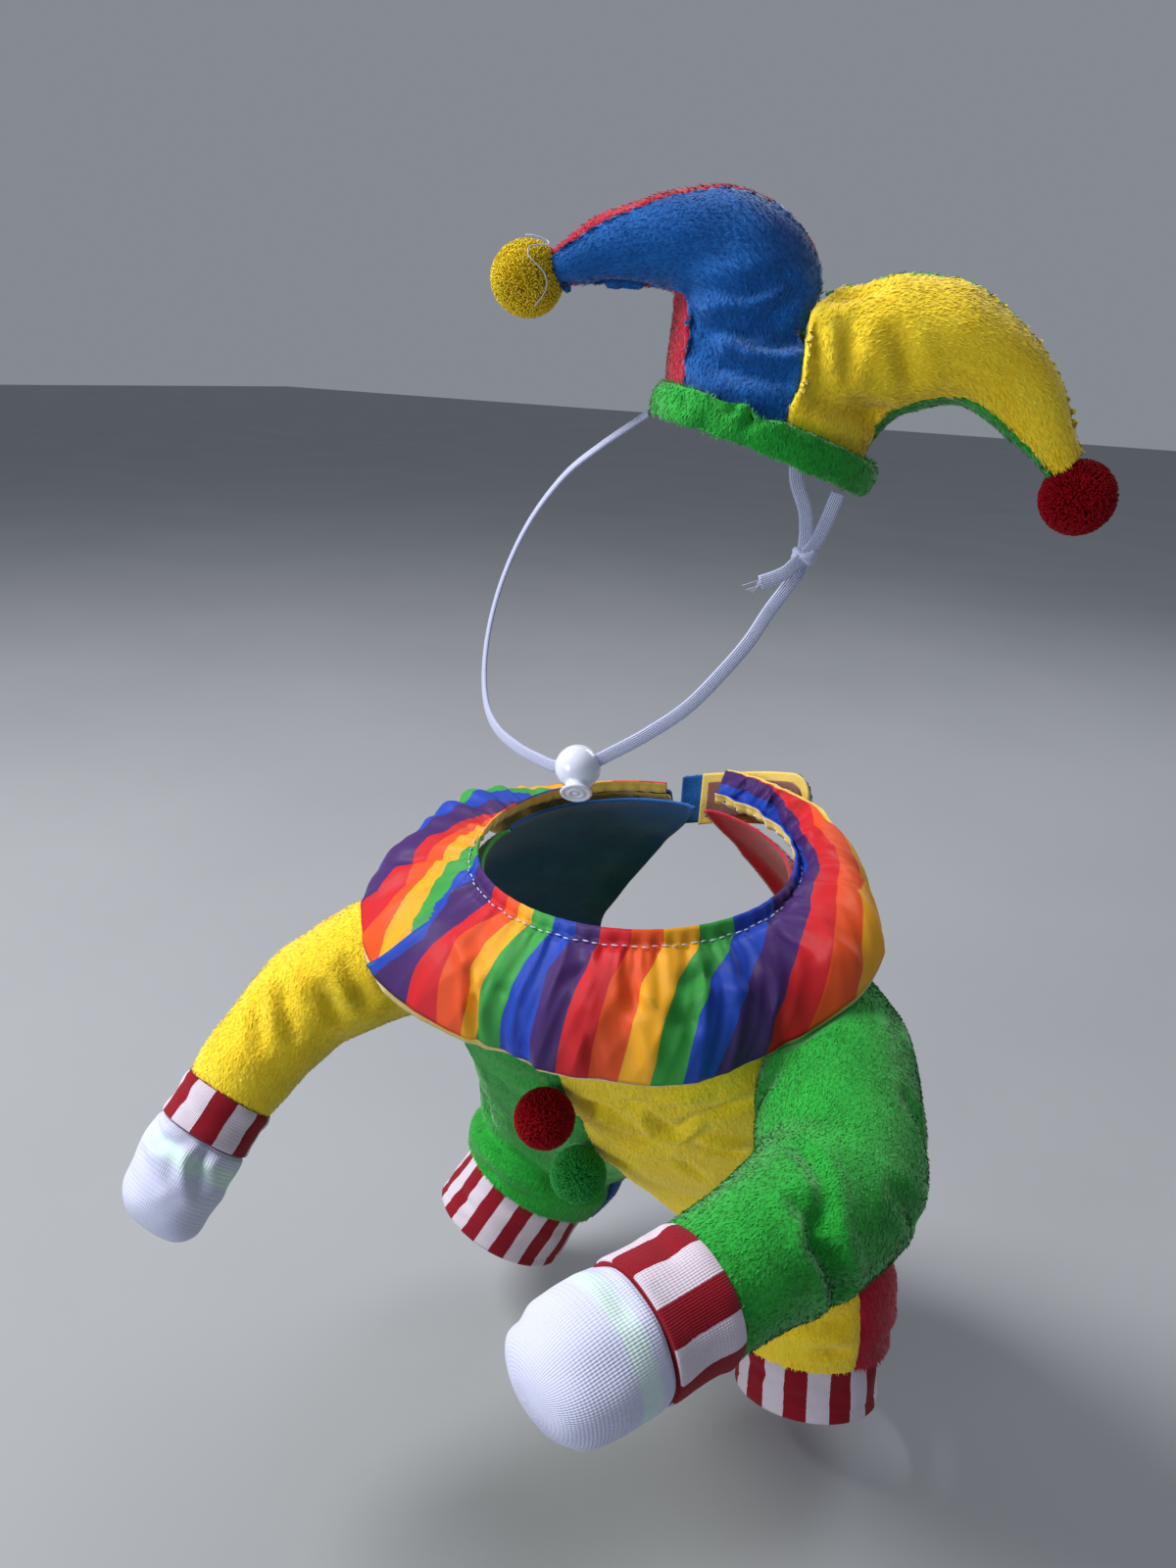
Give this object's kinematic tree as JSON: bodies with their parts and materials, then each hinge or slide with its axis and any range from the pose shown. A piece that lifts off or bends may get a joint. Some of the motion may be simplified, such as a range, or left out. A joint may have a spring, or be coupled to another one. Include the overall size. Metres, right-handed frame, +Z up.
{
  "type": "dog jester costume",
  "caption": "Jester costume for a dog: quartered plush suit with a gathered rainbow collar and stuffed false arms, and a horned pompom hat held by a chin elastic with a cord stopper.",
  "frame": {"origin": "middle of the neck opening, where the suit's collar casing sits round the wearer's neck", "axes": "+Z up, +X towards the wearer's left, the wearer's front faces -Y"},
  "size_m": [0.3397, 0.3688, 0.6029],
  "materials": {
    "green_plush": "short soft pile",
    "yellow_plush": "short soft pile",
    "blue_plush": "short soft pile",
    "red_plush": "short soft pile",
    "striped_knit": "red and white striped jersey",
    "white_knit": "fine white jersey",
    "rainbow_satin": "satin printed with red, orange, amber, green, blue and purple stripes",
    "yellow_velour": "velour",
    "fastener_tape": "hook and loop tape",
    "yellow_yarn": "cut yarn",
    "red_yarn": "cut yarn",
    "green_yarn": "cut yarn",
    "white_elastic": "ribbed flat elastic",
    "white_bead": "glossy"
  },
  "bodies": {
    "root": {"front_panel_right": "green_plush", "front_panel_left": "yellow_plush", "back_panel_right": "blue_plush", "back_panel_left": "red_plush", "sleeve_right": "yellow_plush", "sleeve_left": "green_plush", "leg_cuff_right": "striped_knit", "leg_cuff_left": "striped_knit", "arm_cuff_right": "striped_knit", "arm_cuff_left": "striped_knit", "glove_right": "white_knit", "glove_left": "white_knit", "collar_ruffle": "rainbow_satin", "collar_under_layer": "yellow_velour", "nape_tab": "blue_plush", "nape_tab_facing": "yellow_velour", "nape_tab_fastener": "fastener_tape", "hat_front_right": "blue_plush", "hat_back_right": "red_plush", "hat_front_left": "yellow_plush", "hat_back_left": "green_plush", "hat_band": "green_plush", "pompom_hat_right": "yellow_yarn", "pompom_hat_left": "red_yarn", "pompom_chest_upper": "red_yarn", "pompom_chest_lower": "green_yarn", "elastic_strand_front": "white_elastic", "elastic_strand_back": "white_elastic", "elastic_tail": "white_elastic", "elastic_near": "white_elastic", "elastic_far": "white_elastic", "elastic_knot": "white_elastic", "cord_stopper": "white_bead"}
  },
  "joints": []
}
